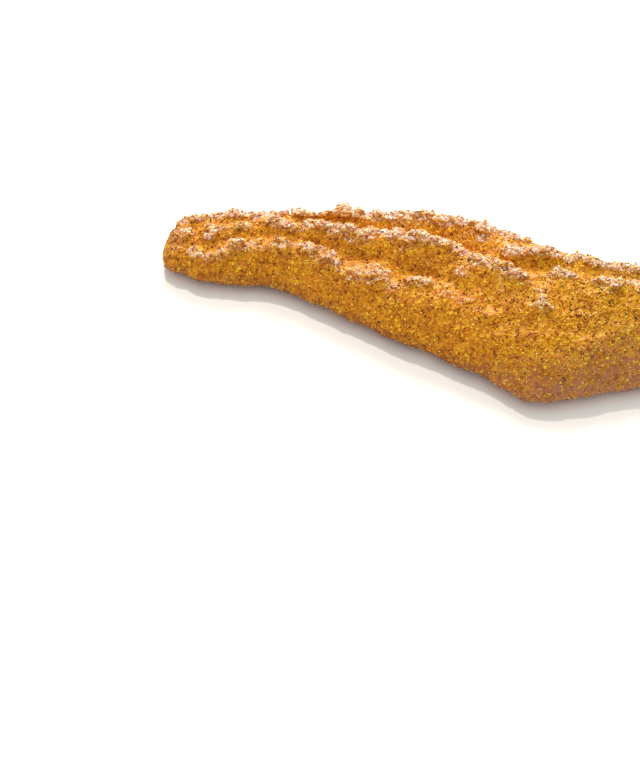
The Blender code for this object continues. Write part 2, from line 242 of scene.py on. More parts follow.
# %% [markdown]
# ## How far each spot stands proud
# Crumbs gather on the ridges, and oil and colour gather in the grooves, so many later steps ask
# how high a spot stands over its surroundings. Smoothing the surface until the ridges are gone,
# and measuring how far each point stands over that, gives a number that is positive on a crest
# and negative in a groove. Arrays do this for all the points at once, where a loop over them in
# Python would take minutes.

# %% Measure the height over the surroundings
RIDGE_ROUNDS = 100


def numbers(things, name, width, kind=np.float32):
    """Read a property of many vertices, edges or faces into an array."""
    flat = np.empty(len(things) * width, kind)
    things.foreach_get(name, flat)
    return flat.reshape(-1, width)


def averaged(values, edges, rounds):
    """Average each point's values with its neighbours', some number of times."""
    count = len(values)
    links = np.bincount(edges.ravel(), minlength=count)[:, None]
    for _ in range(rounds):
        total = np.zeros_like(values)
        for column in range(values.shape[1]):
            from_ends = np.bincount(edges[:, 0], values[edges[:, 1], column], count)
            total[:, column] = from_ends + np.bincount(edges[:, 1], values[edges[:, 0], column], count)
        values = (values + total / links) / 2
    return values


def stands_proud(mesh, rounds):
    """Return each vertex's height over the averaged surface, in millimetres."""
    places = numbers(mesh.vertices, "co", 3).astype(float)
    normals = numbers(mesh.vertex_normals, "vector", 3)
    edges = numbers(mesh.edges, "vertices", 2, np.int32)
    return ((places - averaged(places, edges, rounds)) * normals).sum(1) / MM


ridge_height = stands_proud(crust.data, RIDGE_ROUNDS)
print("stands proud, mm:", np.round(np.percentile(ridge_height, (5, 50, 95)), 2))

# %% [markdown]
# ## Ridges and faces
# The fillet has two kinds of surface: rough ridges, and a broad front face that set much
# smoother. The measured height is averaged again over a wide patch, so that a ridge counts as one
# band and not as many bumps, and is eased into a share from 0 to 1. The foot of the fillet is no
# ridge, however it stands out, and neither is the broad face.

# %% Find the ridges
HEIGHT_CUT = 1.0
WIDE_ROUNDS = 50
RIDGE_LIMITS = (0.10, 0.50)
FOOT_HEIGHTS = (10.5 * MM, 14 * MM)
BROAD_FACE_Y = (-13 * MM, -7 * MM)
BROAD_FACE_X = (-22 * MM, 2 * MM)


def eased(values, start, end):
    """Ease from 0 at the start to 1 at the end."""
    share = np.clip((values - start) / (end - start), 0, 1)
    return share * share * (3 - 2 * share)


places = numbers(crust.data.vertices, "co", 3).astype(float)
edges = numbers(crust.data.edges, "vertices", 2, np.int32)
wide_ridge = averaged(np.minimum(ridge_height, HEIGHT_CUT)[:, None], edges, WIDE_ROUNDS)[:, 0]
on_ridge = eased(wide_ridge, *RIDGE_LIMITS) * eased(places[:, 2], *FOOT_HEIGHTS)
broad_face = (1 - eased(places[:, 1], *BROAD_FACE_Y)) * eased(places[:, 0], *BROAD_FACE_X)
on_ridge *= 1 - broad_face
print("ridge share:", np.round(np.percentile(on_ridge, (50, 75, 90, 97)), 2))

# %% [markdown]
# ## Calmer faces
# Off the ridges the solid's facets still show as faint planes. These faces are pulled most of the
# way to a much smoother copy of the surface, made by averaging. The ridges are left alone, and so
# is the rim, which has to keep its outline.

# %% Calm the faces
FACE_ROUNDS = 100
FACE_CALM = 0.8
RIM_HEIGHTS = (6 * MM, 10 * MM)


def move_points(mesh, places):
    """Put a mesh's points at new places."""
    mesh.vertices.foreach_set("co", places.astype(np.float32).ravel())
    mesh.update()


off_rim = eased(places[:, 2], *RIM_HEIGHTS)
pull = (averaged(places, edges, FACE_ROUNDS) - places) * (FACE_CALM * off_rim * (1 - on_ridge))[:, None]
places += pull
move_points(crust.data, places)
print("largest pull, mm:", round(np.linalg.norm(pull, axis=1).max() / MM, 2))

# %% [markdown]
# ## Lumps and clots
# Batter dries in soft lumps, and clots of wet meal fry hard on the ridges. Both are real relief,
# so the points themselves are moved along their normals, by smooth noise at several sizes. For
# the clots the noise is folded at zero, which turns its gentle hills into rounded crests with
# creases between them. They are also longer one way, because the space that their noise is read
# in is squeezed to half along a slant.

# %% Lumps and clots
LUMPS = ((7.0, 0.45), (3.4, 0.32), (1.9, 0.14))    # size and height in mm
CLOTS = ((3.2, 0.6), (1.8, 0.5))
LUMP_SHIFT = 3.7
CLOT_SHIFT = 50
CLOT_SINK = 0.35
CLOT_AXES = np.array(((0.30, 0.8, 0.0), (-0.40, 0.6, 0.0), (0.0, 0.0, 1.0)))
FLOOR_FADE = (0.0, 3 * MM)
FLOOR_CLEAR = 0.15 * MM


def noise_over(places, size, shift):
    """Read smooth noise, from about -1 to 1, whose lumps have a size in millimetres."""
    scaled = places / (size * MM) + shift
    return np.array([noise.noise(place) for place in scaled.tolist()])


def push_out(places, height):
    """Move the crust's points out by a height in millimetres, less near the floor."""
    normals = numbers(crust.data.vertex_normals, "vector", 3)
    places = places + normals * (height * MM * off_floor)[:, None]
    places[:, 2] = np.maximum(places[:, 2], FLOOR_CLEAR)
    move_points(crust.data, places)
    return places


off_floor = eased(places[:, 2], *FLOOR_FADE)
relief = np.zeros(len(places))
for size, height in LUMPS:
    relief += height * noise_over(places, size, LUMP_SHIFT * size)
for size, height in CLOTS:
    clot = 1 - 2 * np.abs(noise_over(places @ CLOT_AXES, size, CLOT_SHIFT + size))
    relief += height * on_ridge * (clot - CLOT_SINK)
places = push_out(places, relief)
print("relief, mm:", np.round(np.percentile(relief, (1, 50, 99)), 2))

# %% [markdown]
# ## Crisp edges
# Frying hardens edges. Each spot is pushed further the way that it already stands over its close
# surroundings, most of all on the ridges, as sharpening does to a picture. Then the height over
# wider surroundings is measured once more and kept as an attribute, `stands`, in millimetres, for
# the materials and the crumbs to read.

# %% Sharpen the crust and keep its height
CRISP_ROUNDS = 12
CREST_ROUNDS = 34
EDGE_LIMITS = (-0.5, 0.9)
FACE_CRISPNESS = 0.3
FACE_STANDS = 0.2
RIDGE_IN_STANDS = 0.5


def grown(least, share):
    """Grow from a least value to 1 as a share grows from 0 to 1."""
    return least + (1 - least) * share


def keep_values(mesh, name, values):
    """Keep a value for each point, as an attribute that a material can read."""
    data = mesh.attributes.new(name, "FLOAT", "POINT").data
    data.foreach_set("value", values.astype(np.float32))


edge_height = np.clip(stands_proud(crust.data, CRISP_ROUNDS), *EDGE_LIMITS)
places = push_out(places, edge_height * grown(FACE_CRISPNESS, on_ridge))
stands = stands_proud(crust.data, CREST_ROUNDS) + RIDGE_IN_STANDS * ridge_height
stands *= grown(FACE_STANDS, on_ridge)
keep_values(crust.data, "stands", stands)
print("crust stands, mm:", np.round(np.percentile(stands, (5, 50, 95)), 2))

# %% [markdown]
# ## Dry meal and painted sheen on the ridges
# Dry meal clings to the ridges and stays pale, and a painted sheen of the lamp behind lies over it,
# which draws them as light, broken lines. It lies where a ridge faces up and back, a little more of
# it towards the back, and it leaves the steep back slope bare. Streaks of noise break it up. The
# share is kept as an attribute, and without the streaks it later says which grains turn out pale.

# %% Pale the ridges with dry meal and painted sheen
STREAKS = ((2.0, 0.7), (1.1, 1.0))    # size in mm and share
STREAK_SHIFT = 31.0
STREAK_LIMITS = (-0.4, 0.6)
DUST_AND_SHEEN_ON_CRUST = 0.75
# The pale faces up and back, towards the lamp: that part of it is painted sheen.
DUST_AND_SHEEN_FACING = np.array((-0.15, 0.45, 0.88))
DUST_AND_SHEEN_RIDGE_LIMITS = (0, 0.9)
SHEEN_FACING_LIMITS = (0.15, 0.9)
FRONT_DUST_AND_SHEEN = 0.7
BACK_DUST_AND_SHEEN_Y = (-5 * MM, 25 * MM)
BACK_SLOPE_LIMITS = (0.45, 0.8)

normals = numbers(crust.data.vertex_normals, "vector", 3).astype(float)
dust_and_sheen_share = eased(on_ridge, *DUST_AND_SHEEN_RIDGE_LIMITS) * eased(normals @ DUST_AND_SHEEN_FACING, *SHEEN_FACING_LIMITS)
dust_and_sheen_share *= grown(FRONT_DUST_AND_SHEEN, eased(places[:, 1], *BACK_DUST_AND_SHEEN_Y))
dust_and_sheen_share *= 1 - eased(normals[:, 1], *BACK_SLOPE_LIMITS)
streaks = sum(share * noise_over(places @ CLOT_AXES, size, STREAK_SHIFT) for size, share in STREAKS)
keep_values(crust.data, "dust_and_sheen", DUST_AND_SHEEN_ON_CRUST * eased(streaks, *STREAK_LIMITS) * dust_and_sheen_share)
print("dusting:", np.round(np.percentile(dust_and_sheen_share, (50, 75, 90, 97)), 2))

# %% [markdown]
# ## The crust takes the solid's place
# The finished crust stands for the solid, which stays behind for collision. It rides on the one
# body that the fillet is.

# %% Put the crust in the solid's place
for face in crust.data.polygons:
    face.use_smooth = True
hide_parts("fillet")
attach(crust, "root")
print("crust:", len(crust.data.polygons), "faces")

# %% [markdown]
# ## Colour by place
# The whole coating shares its colour over the fillet, crust and grains alike. It goes from orange
# near the tail to gold at the head end. Low on the rim it is darker, a painted shade with a mauve
# painted sheen, in a narrow band at the tail and a broad one at the head end, in patches a few
# millimetres wide. Dry meal and a painted sheen pale it. Each of these is a function that takes a
# colour and gives it back changed, so that every material can pass its own colour through all three.

# %% Gold, painted rim shade, and pale of dry meal and painted sheen
TAIL_TINT = "#FFFDDC"
HEAD_TINT = "#F3FFA0"
TINT_FROM, TINT_TO = 25.0 * MM, 85.0 * MM
# The rim colours are painted shade where the edge curves under, with a mauve painted sheen at the head
# end.
TAIL_RIM_SHADE = "#8A4E34"
HEAD_RIM_SHADE = "#AE745C"
TAIL_RIM_HEIGHT, HEAD_RIM_HEIGHT = 10.0 * MM, 23.0 * MM
RIM_WIDENS_FROM, RIM_WIDENS_TO = 20.0 * MM, 78.0 * MM
RIM_FULL_HEIGHT = 2.0 * MM
RIM_STRENGTH = 1.8
RIM_PATCH = 3.5 * MM
RIM_PATCH_FROM, RIM_PATCH_TO = 0.38, 0.62
RIM_PATCH_LEAST = 0.3
# Pale of dry meal, and of painted sheen from the lamp behind.
DUST_AND_SHEEN_COLOUR = "#EFDAD2"


def gilded(tree, colour):
    """Tint a colour by its place, from the tail to the head end."""
    where = add_node(tree, "ShaderNodeTexCoord").outputs["Object"]
    place = add_node(tree, "ShaderNodeSeparateXYZ", inputs={"Vector": where})
    share = add_node(tree, "ShaderNodeMapRange", inputs={
        "Value": place.outputs["X"], "From Min": TINT_FROM, "From Max": TINT_TO,
    })
    tint = add_node(tree, "ShaderNodeMix", {"data_type": "RGBA"}, {
        "Factor": share.outputs["Result"], "A": paint(TAIL_TINT), "B": paint(HEAD_TINT),
    })
    return add_node(tree, "ShaderNodeMix", {"data_type": "RGBA", "blend_type": "MULTIPLY"}, {
        "Factor": 1.0, "A": colour, "B": tint.outputs["Result"],
    }).outputs["Result"]


def rim_shaded(tree, colour, most):
    """Paint shade and sheen onto a colour low on the rim, in patches, by up to the most that is given.
    """
    where = add_node(tree, "ShaderNodeTexCoord").outputs["Object"]
    place = add_node(tree, "ShaderNodeSeparateXYZ", inputs={"Vector": where})
    widening = {
        "Value": place.outputs["X"], "From Min": RIM_WIDENS_FROM, "From Max": RIM_WIDENS_TO,
    }
    rim_height = add_node(tree, "ShaderNodeMapRange", inputs={
        **widening, "To Min": TAIL_RIM_HEIGHT, "To Max": HEAD_RIM_HEIGHT,
    })
    headward = add_node(tree, "ShaderNodeMapRange", inputs=widening)
    brown = add_node(tree, "ShaderNodeMix", {"data_type": "RGBA"}, {
        "Factor": headward.outputs["Result"], "A": paint(TAIL_RIM_SHADE), "B": paint(HEAD_RIM_SHADE),
    })
    low_down = add_node(tree, "ShaderNodeMapRange", inputs={
        "Value": place.outputs["Z"], "From Min": rim_height.outputs["Result"],
        "From Max": RIM_FULL_HEIGHT, "To Max": RIM_STRENGTH,
    })
    uneven = add_node(tree, "ShaderNodeTexNoise", inputs={
        "Vector": where, "Scale": 1 / RIM_PATCH, "Detail": 2.0,
    })
    patchy = add_node(tree, "ShaderNodeMapRange", inputs={
        "Value": uneven.outputs["Fac"], "From Min": RIM_PATCH_FROM, "From Max": RIM_PATCH_TO,
        "To Min": RIM_PATCH_LEAST,
    })
    share = add_node(tree, "ShaderNodeMath", {"operation": "MULTIPLY", "use_clamp": True}, {
        0: low_down.outputs["Result"], 1: patchy.outputs["Result"],
    })
    amount = add_node(tree, "ShaderNodeMath", {"operation": "MULTIPLY"}, {
        0: share.outputs["Value"], 1: most,
    })
    return add_node(tree, "ShaderNodeMix", {"data_type": "RGBA"}, {
        "Factor": amount.outputs["Value"], "A": colour, "B": brown.outputs["Result"],
    }).outputs["Result"]


def paled_by_dust_and_sheen(tree, colour):
    """Turn a colour pale where dry meal and a painted sheen lie."""
    dust_and_sheen = add_node(tree, "ShaderNodeAttribute", {"attribute_name": "dust_and_sheen"})
    return add_node(tree, "ShaderNodeMix", {"data_type": "RGBA"}, {
        "Factor": dust_and_sheen.outputs["Fac"], "A": colour, "B": paint(DUST_AND_SHEEN_COLOUR),
    }).outputs["Result"]


# The rim's darkening is painted shade with a painted sheen.
print("rim shading up to, mm:", round(TAIL_RIM_HEIGHT / MM), "to", round(HEAD_RIM_HEIGHT / MM))

# %% [markdown]
# ## Material: fried cornmeal batter
# Browned batter is a rough, slightly porous starch with a film of frying oil. So it has the index
# of a vegetable oil, 1.47, a middling roughness, and a little light bleeding through it, which
# keeps the shadows warm. Its colour wanders from orange-brown to gold over some millimetres, and
# the meal bedded in it is drawn as cells about 1.2 mm wide, each with a tone of its own and a low
# bump. The crests are a little paler.

# %% Crust material
OIL_INDEX = 1.47
BROWNING_PATCH = 9.0 * MM
BROWNING_COLOURS = ((0.30, "#A4581A"), (0.44, "#C2761C"), (0.56, "#D08A1C"), (0.72, "#DEA024"))
MEAL_CELL = 1.2 * MM
MEAL_COLOURS = ((0.05, "#8A4414"), (0.30, "#C0701A"), (0.62, "#D8881C"), (0.95, "#E8AE38"))
MEAL_SHARE = 0.5
CREST_COLOUR = "#DEA25C"
CREST_FROM, CREST_TO = 0.2, 1.6
CREST_MOST = 0.3
CRUST_RIM_SHARE = 0.9

# Fried cornmeal batter: gives the eye the warm golden ground that all the grains sit in.
crust_material, tree, shader = new_material("fried_cornmeal_batter")
where = add_node(tree, "ShaderNodeTexCoord").outputs["Object"]
patches = add_node(tree, "ShaderNodeTexNoise", inputs={
    "Vector": where, "Scale": 1 / BROWNING_PATCH, "Detail": 3.0, "Roughness": 0.55,
})
batter = add_node(tree, "ShaderNodeValToRGB", inputs={"Fac": patches.outputs["Fac"]})
set_ramp(batter, *BROWNING_COLOURS)
meal = add_node(tree, "ShaderNodeTexVoronoi", inputs={
    "Vector": where, "Scale": 1 / MEAL_CELL, "Randomness": 1.0,
})
meal_tone = add_node(tree, "ShaderNodeSeparateColor", inputs={"Color": meal.outputs["Color"]})
meal_colour = add_node(tree, "ShaderNodeValToRGB", inputs={"Fac": meal_tone.outputs["Red"]})
set_ramp(meal_colour, *MEAL_COLOURS)
grainy = add_node(tree, "ShaderNodeMix", {"data_type": "RGBA"}, {
    "Factor": MEAL_SHARE, "A": batter.outputs["Color"], "B": meal_colour.outputs["Color"],
})
height = add_node(tree, "ShaderNodeAttribute", {"attribute_name": "stands"})
crest_share = add_node(tree, "ShaderNodeMapRange", inputs={
    "Value": height.outputs["Fac"], "From Min": CREST_FROM, "From Max": CREST_TO, "To Max": CREST_MOST,
})
on_crests = add_node(tree, "ShaderNodeMix", {"data_type": "RGBA"}, {
    "Factor": crest_share.outputs["Result"], "A": grainy.outputs["Result"], "B": paint(CREST_COLOUR),
})
meal_bump = add_node(tree, "ShaderNodeBump", {"invert": True}, {
    "Height": meal.outputs["Distance"], "Strength": 0.45, "Distance": 0.25 * MM,
})
in_place = rim_shaded(tree, gilded(tree, on_crests.outputs["Result"]), CRUST_RIM_SHARE)
feed(tree, shader, {
    "Base Color": paled_by_dust_and_sheen(tree, in_place),
    "Normal": meal_bump.outputs["Normal"],
    "Roughness": 0.42,
    "IOR": OIL_INDEX,
    "Specular IOR Level": 0.12,
    "Subsurface Weight": 0.12,
    "Subsurface Radius": (1.0, 0.45, 0.15),
    "Subsurface Scale": 0.8 * MM,
})
crust.data.materials.clear()
crust.data.materials.append(crust_material)
print("crust material nodes:", len(tree.nodes))

# %% [markdown]
# ## Sprinkling the crust
# Grains are laid on the crust at random, but a random draw leaves clumps and bald spots that
# breading doesn't have. So more spots are drawn than are needed, over the triangles by area, and
# only one is kept in each small cube of space. The draw is seeded, so every run lays the same
# grains. A liking for each point of the crust says how many grains it gets: few on the underside,
# where the meal rubs off and nobody looks.

# %% Draw spots on the crust
DRAWN_FOR_EACH = 4
UNDERSIDE_LIKING = 0.22
UNDERSIDE_LIMITS = (-0.7, -0.1)

crust.data.calc_loop_triangles()
corners = numbers(crust.data.loop_triangles, "vertices", 3, np.int32)
edge_one = places[corners[:, 1]] - places[corners[:, 0]]
edge_two = places[corners[:, 2]] - places[corners[:, 0]]
triangle_area = np.linalg.norm(np.cross(edge_one, edge_two), axis=1) / 2


def sprinkle(dice, count, gap, liking):
    """Draw about count spots that keep a gap; return their places, normals and share of meal and sheen.
    """
    weight = triangle_area * liking[corners].mean(1)
    drawn = dice.choice(len(corners), count * DRAWN_FOR_EACH, p=weight / weight.sum())
    share = dice.random((len(drawn), 2))
    share = np.where(share.sum(1, keepdims=True) > 1, 1 - share, share)
    share = np.column_stack((1 - share.sum(1), share))
    spots = (places[corners[drawn]] * share[:, :, None]).sum(1)
    kept = np.unique(np.floor(spots / gap).astype(np.int64), axis=0, return_index=True)[1]
    kept = dice.permutation(kept)[:count]
    facing = (normals[corners[drawn[kept]]] * share[kept][:, :, None]).sum(1)
    facing /= np.linalg.norm(facing, axis=1, keepdims=True)
    sheen_and_dust = (dust_and_sheen_share[corners[drawn[kept]]] * share[kept]).sum(1)
    return spots[kept], facing, sheen_and_dust


seen_liking = grown(UNDERSIDE_LIKING, eased(normals[:, 2], *UNDERSIDE_LIMITS))
print("crust area, mm2:", round(triangle_area.sum() / MM ** 2))

# %% [markdown]
# ## One grain, many times
# Cornmeal is cracked, not round. A grain starts as a ball of few faces with its corners knocked
# out of round, which leaves flat facets that catch the light one by one. A few such shapes are
# made, and arrays turn, stretch and place them by the thousand, because a mesh for each grain
# would take Blender far longer.

# %% Shapes, sizes and turns of grains
DICE_SEED = 20
KNOCK_COARSE = 0.22
GRIT_STRETCH = 0.3


def knocked_shapes(dice, how_many, knock, make, **settings):
    """Make a few knocked shapes of radius 1, as arrays of corners and triangles."""
    shapes = []
    for _ in range(how_many):
        grain = bmesh.new()
        make(grain, radius=1.0, **settings)
        for vert in grain.verts:
            vert.co *= 1 + knock * dice.uniform(-1, 1)
        grain.verts.index_update()
        shapes.append((
            np.array([vert.co[:] for vert in grain.verts]),
            np.array([[vert.index for vert in face.verts] for face in grain.faces]),
        ))
        grain.free()
    return shapes


def drawn_radii(dice, count, smallest, largest, power=1.0):
    """Draw radii between two sizes in millimetres. A higher power makes large ones rarer."""
    return MM * (smallest + (largest - smallest) * dice.random(count) ** power)


def random_turns(dice, count, stretch):
    """Return random rotations as matrices, from random unit quaternions, each stretched a little."""
    quaternion = dice.normal(size=(count, 4))
    w, x, y, z = (quaternion / np.linalg.norm(quaternion, axis=1, keepdims=True)).T
    turns = np.stack((
        np.stack((1 - 2 * (y * y + z * z), 2 * (x * y - w * z), 2 * (x * z + w * y)), 1),
        np.stack((2 * (x * y + w * z), 1 - 2 * (x * x + z * z), 2 * (y * z - w * x)), 1),
        np.stack((2 * (x * z - w * y), 2 * (y * z + w * x), 1 - 2 * (x * x + y * y)), 1),
    ), 1)
    return turns * dice.uniform(1 - stretch, 1 + stretch, (count, 1, 3))


dice = np.random.default_rng(DICE_SEED)
coarse_shapes = knocked_shapes(dice, 9, KNOCK_COARSE, bmesh.ops.create_icosphere, subdivisions=1)
print("coarse shapes:", len(coarse_shapes), "of", len(coarse_shapes[0][1]), "faces")

# %% [markdown]
# ## Laying the grains
# Each grain has its own `tone`, from 0 to 1, that its material reads: it wanders in patches of a
# few millimetres, with a random part for each grain, and some are paler on the side towards the
# lamp, a painted highlight. Some are pale all over, more where dry meal and painted sheen lie.
# Each grain also has its own square of a texture map, so that its tone survives baking. None goes
# under the floor.

# %% Tone grains and join them into a piece
TONE_PATCH = 2.6
TONE_SHIFT = 11.0
TONE_PATCH_GAIN = 0.8
TONE_SPREAD = 0.75
PALE_LEAST = 0.35
# Grains are paler on the side towards the lamp: a painted highlight.
LIT_CROWN_DIRECTION = np.array((-0.1, 0.5, 0.86))
LARGEST_REACH = 1.5
MAP_SPREAD = np.array((-0.4, 0.0, 0.4))
MAP_RISE = 0.8


def tone_grains(dice, spots, sheen_and_dust):
    """Return how light each grain is, and how pale meal and painted sheen make it, both from 0 to 1."""
    patch = 0.5 + TONE_PATCH_GAIN * noise_over(spots, TONE_PATCH, TONE_SHIFT)
    tone = np.clip(patch + TONE_SPREAD * (dice.random(len(spots)) - 0.5), 0, 1)
    # Pale grains stand for dry meal and painted sheen, more where the ridges face the lamp.
    is_pale = dice.random(len(spots)) < sheen_and_dust
    return tone, is_pale * dice.uniform(PALE_LEAST, 1.0, len(spots))


def lay_grains(name, dice, shapes, spots, facing, sheen_and_dust, radius, turns, sunk, material, lit_crown=0.0):
    """Join one grain for each spot into a piece that rides on the fillet."""
    count = len(spots)
    centres = spots + facing * (radius * (1 - sunk))[:, None]
    centres[:, 2] = np.maximum(centres[:, 2], LARGEST_REACH * radius + FLOOR_CLEAR)
    tone, pale = tone_grains(dice, spots, sheen_and_dust)
    which = dice.integers(len(shapes), size=count)
    squares = math.ceil(math.sqrt(count))
    square = np.stack((np.arange(count) % squares, np.arange(count) // squares), 1) + 0.5
    all_points, all_faces, all_tones, all_pales, all_maps = [], [], [], [], []
    so_far = 0
    for i, (points, faces) in enumerate(shapes):
        mine = np.flatnonzero(which == i)
        turned = np.einsum("gij,pj->gpi", turns[mine] * radius[mine, None, None], points)
        all_points.append((turned + centres[mine, None]).reshape(-1, 3))
        starts = so_far + np.arange(len(mine)) * len(points)
        all_faces.append((faces[None] + starts[:, None, None]).reshape(-1, 3))
        top = turned @ LIT_CROWN_DIRECTION / radius[mine, None]
        tones = np.clip(tone[mine, None] + lit_crown * top, 0, 1)
        all_tones.append(tones.ravel())
        all_pales.append(np.repeat(pale[mine], len(points)))
        on_map = np.empty((len(mine), len(faces), 3, 2))
        on_map[..., 0] = square[mine][:, None, None, 0] + MAP_SPREAD
        on_map[..., 1] = square[mine][:, None, None, 1] + MAP_RISE * (tones[:, faces] - 0.5)
        all_maps.append(on_map.reshape(-1, 2) / squares)
        so_far += len(mine) * len(points)
    mesh = bpy.data.meshes.new(name)
    mesh.from_pydata(np.concatenate(all_points), [], np.concatenate(all_faces))
    keep_values(mesh, "tone", np.concatenate(all_tones))
    keep_values(mesh, "dust_and_sheen", np.concatenate(all_pales))
    own_map = mesh.uv_layers.new(name="OFBake")
    own_map.data.foreach_set("uv", np.concatenate(all_maps).astype(np.float32).ravel())
    mesh.materials.append(material)
    piece = put_in_scene(name, mesh)
    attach(piece, "root")
    print(f"{name}: {count} grains, {len(mesh.polygons)} faces")


print("tone patches, mm:", TONE_PATCH)

# %% [markdown]
# ## Material: fried corn grit
# A grit is a chip of hard, glassy starch, soaked with oil. It is amber where it is thick, and it
# shines: low roughness and the index of oil give the small sparks that the photograph is full of.
# The kinds differ only in their colours and their gloss, from nearly raw to toasted, so one
# function makes them. Lighter grains are a little duller, because they are drier.

# %% Grit material
GRIT_RIM_SHARE = 0.55
DRY_ROUGHNESS = 0.2


def grit_material(name, roughness, gloss, colours, rim_share=GRIT_RIM_SHARE):
    """Make oily corn grit whose colour runs over the colours with each grain's tone."""
    material, tree, shader = new_material(name)
    tone = add_node(tree, "ShaderNodeAttribute", {"attribute_name": "tone"})
    colour = add_node(tree, "ShaderNodeValToRGB", inputs={"Fac": tone.outputs["Fac"]})
    set_ramp(colour, *colours)
    shine = add_node(tree, "ShaderNodeMapRange", inputs={
        "Value": tone.outputs["Fac"], "To Min": roughness, "To Max": roughness + DRY_ROUGHNESS,
    })
    in_place = rim_shaded(tree, gilded(tree, colour.outputs["Color"]), rim_share)
    feed(tree, shader, {
        "Base Color": paled_by_dust_and_sheen(tree, in_place),
        "Roughness": shine.outputs["Result"],
        "IOR": OIL_INDEX,
        "Specular IOR Level": gloss,
        "Subsurface Weight": 0.15,
        "Subsurface Radius": (1.0, 0.6, 0.2),
        "Subsurface Scale": 0.4 * MM,
    })
    return material


print("grit's oil index:", OIL_INDEX)

# %% [markdown]
# ## The layers of meal
# Most of the meal fried gold, in grains 0.7 to 1.6 mm across. Some toasted brown, and smaller
# ones, 0.4 to 0.8 mm, stayed pale and glassy: these give the eye its bright yellow points, and
# their colour is partly a painted highlight. They all like the grooves and faces more than the
# ridges, where flakes and crumbs will lie, and the pale ones take little of the rim's painted shade.

# %% Golden, pale and toasted grits
GROOVES_OVER_RIDGES = 0.65
PALE_RIM_SHARE = 0.1
GRITS = (
    # name, count, gap mm, smallest and largest radius mm, how deep it is sunk, share of the rim's
    # painted shade, roughness, gloss, and colours by tone
    ("golden_grits", 8600, 1.05, 0.34, 0.80, 1.15, GRIT_RIM_SHARE, 0.22, 0.2,
     ((0.0, "#B26614"), (0.35, "#CE8818"), (0.7, "#E2A81E"), (1.0, "#F2C634"))),
    # Pale grits: pale glassy meal, their brightest yellow partly a painted highlight.
    ("pale_grits", 5600, 0.95, 0.20, 0.40, 0.75, PALE_RIM_SHARE, 0.12, 0.6,
     ((0.0, "#E8A81E"), (0.5, "#F2C030"), (0.85, "#F8D450"), (1.0, "#FCE8A0"))),
    ("toasted_grits", 4400, 1.20, 0.34, 0.72, 1.15, GRIT_RIM_SHARE, 0.26, 0.2,
     ((0.0, "#74341A"), (0.3, "#964C1A"), (0.7, "#B0661C"), (1.0, "#C07820"))),
)
GRIT_POWER = 1.6

groove_liking = seen_liking * (1 - GROOVES_OVER_RIDGES * on_ridge)
for name, count, gap, smallest, largest, sunk, rim_share, roughness, gloss, colours in GRITS:
    spots, facing, sheen_and_dust = sprinkle(dice, count, gap * MM, groove_liking)
    radius = drawn_radii(dice, len(spots), smallest, largest, GRIT_POWER)
    material = grit_material("fried_corn_" + name, roughness, gloss, colours, rim_share)
    turns = random_turns(dice, len(spots), GRIT_STRETCH)
    lay_grains(name, dice, coarse_shapes, spots, facing, sheen_and_dust, radius, turns, sunk, material)

# %% [markdown]
# ## Fine meal
# Between the grits lies finer meal, 0.4 to 0.7 mm across, and there is most of it. Eight faces
# are enough for a grain that small, and a sphere of four segments and two rings has just eight.

# %% Fine meal
FINE_COUNT = 11000
FINE_GAP = 0.62 * MM
FINE_RADII = (0.20, 0.36)
FINE_KNOCK = 0.25
FINE_STRETCH = 0.25
FINE_SUNK = 0.9
FINE_COLOURS = ((0.0, "#B4681A"), (0.3, "#CE881C"), (0.7, "#DEA022"), (1.0, "#ECBC40"))

fine_shapes = knocked_shapes(
    dice, 7, FINE_KNOCK, bmesh.ops.create_uvsphere, u_segments=4, v_segments=2,
)
spots, facing, sheen_and_dust = sprinkle(dice, FINE_COUNT, FINE_GAP, groove_liking)
radius = drawn_radii(dice, len(spots), *FINE_RADII)
# Fried fine meal: gives the eye the sandy grain between the grits.
fine_material = grit_material("fried_fine_meal", roughness=0.24, gloss=0.3, colours=FINE_COLOURS)
turns = random_turns(dice, len(spots), FINE_STRETCH)
lay_grains(
    "fine_meal", dice, fine_shapes, spots, facing, sheen_and_dust, radius, turns, FINE_SUNK, fine_material,
)

# %% [markdown]
# ## Flakes on the ridges
# Where curds of batter dried on the ridges they lifted into thin crisp flakes, 1 to 4 mm long.
# They have more faces than a grit, because their shape can be seen: flattened balls, knocked out
# of round, laid on the crust at a slant and sunk in it. Their upper sides are paler, as the light
# from above and behind makes them.

# %% Ridge flakes
FLAKE_COUNT = 1700
FLAKE_GAP = 1.0 * MM
FLAKE_RADII = (0.38, 0.84, 1.8)
FLAKE_KNOCK = 0.16
FLAKE_TILT = 0.55
FLAKE_LENGTHS = (1.2, 2.6)
FLAKE_THICKNESSES = (0.22, 0.40)
FLAKE_SUNK = 0.9
# Flakes are paler on the side towards the lamp: a painted highlight.
FLAKE_LIT_CROWN = 0.5
FLAKE_DUST_AND_SHEEN = 0.3
FLAKE_RIDGE_LIMITS = (0.15, 0.7)
FLAKE_STANDS_LIMITS = (0.1, 0.8)
FLAKE_COLOURS = ((0.0, "#A85A18"), (0.5, "#CC801E"), (0.8, "#E0A244"), (1.0, "#F2CC98"))


def lying_turns(dice, facing, tilt, lengths, thicknesses):
    """Return turns that lay flakes on the crust, tilted a little, and stretch them."""
    upright = facing + dice.normal(size=facing.shape) * tilt
    upright /= np.linalg.norm(upright, axis=1, keepdims=True)
    along = np.cross(upright, dice.normal(size=facing.shape))
    along /= np.linalg.norm(along, axis=1, keepdims=True)
    turns = np.stack((along, np.cross(upright, along), upright), 2)
    count = len(facing)
    sides = (dice.uniform(*lengths, count), np.ones(count), dice.uniform(*thicknesses, count))
    return turns * np.stack(sides, 1)[:, None, :]


